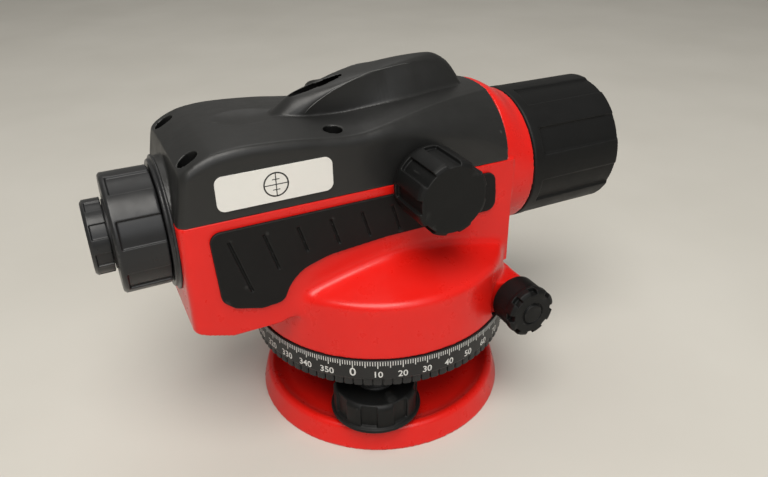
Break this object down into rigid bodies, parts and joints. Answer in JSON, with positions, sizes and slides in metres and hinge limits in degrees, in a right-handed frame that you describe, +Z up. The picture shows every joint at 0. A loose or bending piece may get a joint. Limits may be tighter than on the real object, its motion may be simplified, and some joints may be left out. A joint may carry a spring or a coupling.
{
  "type": "automatic level",
  "caption": "Self-levelling surveying telescope on a three-screw base, with a graduated circle, an endless tangent screw, a focusing knob, an eyepiece and a circular vial.",
  "frame": {"origin": "mouth of the tripod thread, in the plane that the base plate stands on", "axes": "+X along the line of sight towards the objective, +Y to the observer's left, +Z up the vertical axis"},
  "size_m": [0.2, 0.1102, 0.1363],
  "materials": {
    "red_paint": "semi-gloss red paint over die-cast alloy",
    "black_shell": "fine-grained black moulding",
    "black_gloss": "semi-gloss black moulding",
    "black_metal": "black anodised alloy",
    "rubber": "soft matte black rubber",
    "steel": "turned steel",
    "brass": "turned brass",
    "alloy": "milled alloy",
    "glass": "polished, coated",
    "vial": "tinted spirit vial",
    "label": "satin white plate"
  },
  "bodies": {
    "base": {"base_plate": "red_paint", "foot_spring_plate": "steel", "spring_plate_screws": "steel"},
    "foot_screw_a": {"foot_screw_a": "black_metal", "foot_knob_a": "black_shell"},
    "foot_screw_b": {"foot_screw_b": "black_metal", "foot_knob_b": "black_shell"},
    "foot_screw_c": {"foot_screw_c": "black_metal", "foot_knob_c": "black_shell"},
    "head": {"levelling_head": "black_metal", "axis_bush": "brass", "foot_screw_bushes": "brass"},
    "circle": {"horizontal_circle": "black_metal"},
    "drive_wheel": {"worm_wheel": "brass", "friction_washer": "steel"},
    "alidade": {"main_housing": "red_paint", "vertical_axle": "steel", "axle_nut": "steel", "worm_bushes": "brass", "objective_cell": "black_metal", "objective_lens": "glass", "objective_retainer": "black_metal", "objective_hood": "black_shell", "focus_guide": "alloy", "focus_bush": "brass", "compensator_frame": "alloy", "suspension_tapes": "steel", "damper_magnets": "steel", "roof_prism": "glass", "reticle_cell": "black_metal", "reticle_glass": "glass", "eyepiece_flange": "black_gloss", "eyepiece_cover": "black_gloss", "top_cover": "black_shell", "cover_screws": "steel", "sight_lens": "glass", "label_plate": "label", "right_grip": "rubber", "left_grip": "rubber", "vial_cup": "black_shell", "circular_vial": "vial", "vial_screws": "steel", "vial_hood": "black_shell", "vial_prism": "glass"},
    "tangent_screw": {"worm_shaft": "steel", "tangent_knob_right": "black_shell", "tangent_knob_left": "black_shell"},
    "focus_drive": {"focus_shaft": "steel", "focus_knob": "black_shell"},
    "focus_carriage": {"focus_tube": "black_metal", "focus_lens": "glass", "focus_rack": "brass"},
    "pendulum": {"pendulum": "alloy", "pendulum_prism": "glass"},
    "eyepiece": {"eyepiece_barrel": "black_metal", "eyepiece_lens": "glass"},
    "dioptre": {"dioptre_ring": "black_gloss"}
  },
  "joints": [
    {"name": "foot_screw_a_turn", "type": "hinge", "parent": "base", "child": "foot_screw_a", "pos_m": [-0.01714, -0.03223, 0], "axis": [0, 0, 1], "range_deg": [-720, 720]},
    {"name": "foot_screw_b_turn", "type": "hinge", "parent": "base", "child": "foot_screw_b", "pos_m": [0.03648, 0.00127, 0], "axis": [0, 0, 1], "range_deg": [-720, 720]},
    {"name": "foot_screw_c_turn", "type": "hinge", "parent": "base", "child": "foot_screw_c", "pos_m": [-0.01934, 0.03095, 0], "axis": [0, 0, 1], "range_deg": [-720, 720]},
    {"name": "head_lift", "type": "slide", "parent": "base", "child": "head", "axis": [0, 0, 1], "range_m": [-0.0025, 0.0025]},
    {"name": "circle_turn", "type": "hinge", "parent": "head", "child": "circle", "pos_m": [0, 0, 0.038], "axis": [0, 0, 1], "continuous": true},
    {"name": "coarse_turn", "type": "hinge", "parent": "head", "child": "drive_wheel", "pos_m": [0, 0, 0.05], "axis": [0, 0, 1], "continuous": true},
    {"name": "fine_turn", "type": "hinge", "parent": "drive_wheel", "child": "alidade", "pos_m": [0, 0, 0.05], "axis": [0, 0, 1], "continuous": true},
    {"name": "tangent_screw_turn", "type": "hinge", "parent": "alidade", "child": "tangent_screw", "pos_m": [0.037, 0, 0.05], "axis": [0, -1, 0], "continuous": true},
    {"name": "focus_turn", "type": "hinge", "parent": "alidade", "child": "focus_drive", "pos_m": [0.0057, -0.03, 0.1004], "axis": [0, -1, 0], "range_deg": [-151.67, 151.67]},
    {"name": "focus_slide", "type": "slide", "parent": "alidade", "child": "focus_carriage", "axis": [1, 0, 0], "range_m": [-0.009, 0.009]},
    {"name": "pendulum_swing", "type": "hinge", "parent": "alidade", "child": "pendulum", "pos_m": [-0.029, 0, 0.108], "axis": [0, 1, 0], "range_deg": [-0.3, 0.3]},
    {"name": "eyepiece_slide", "type": "slide", "parent": "alidade", "child": "eyepiece", "axis": [1, 0, 0], "range_m": [-0.002, 0.002]},
    {"name": "dioptre_turn", "type": "hinge", "parent": "eyepiece", "child": "dioptre", "pos_m": [-0.1, 0, 0.091], "axis": [1, 0, 0], "range_deg": [-180, 180]}
  ],
  "couplings": [
    {"joint": "foot_screw_a_turn", "follows": "head_lift", "rad_per_m": 5026.6},
    {"joint": "foot_screw_b_turn", "follows": "head_lift", "rad_per_m": 5026.6},
    {"joint": "foot_screw_c_turn", "follows": "head_lift", "rad_per_m": 5026.6},
    {"joint": "tangent_screw_turn", "follows": "fine_turn", "ratio": 120},
    {"joint": "focus_slide", "follows": "focus_turn", "m_per_rad": 0.0034},
    {"joint": "eyepiece_slide", "follows": "dioptre_turn", "m_per_rad": 0.00063662}
  ]
}
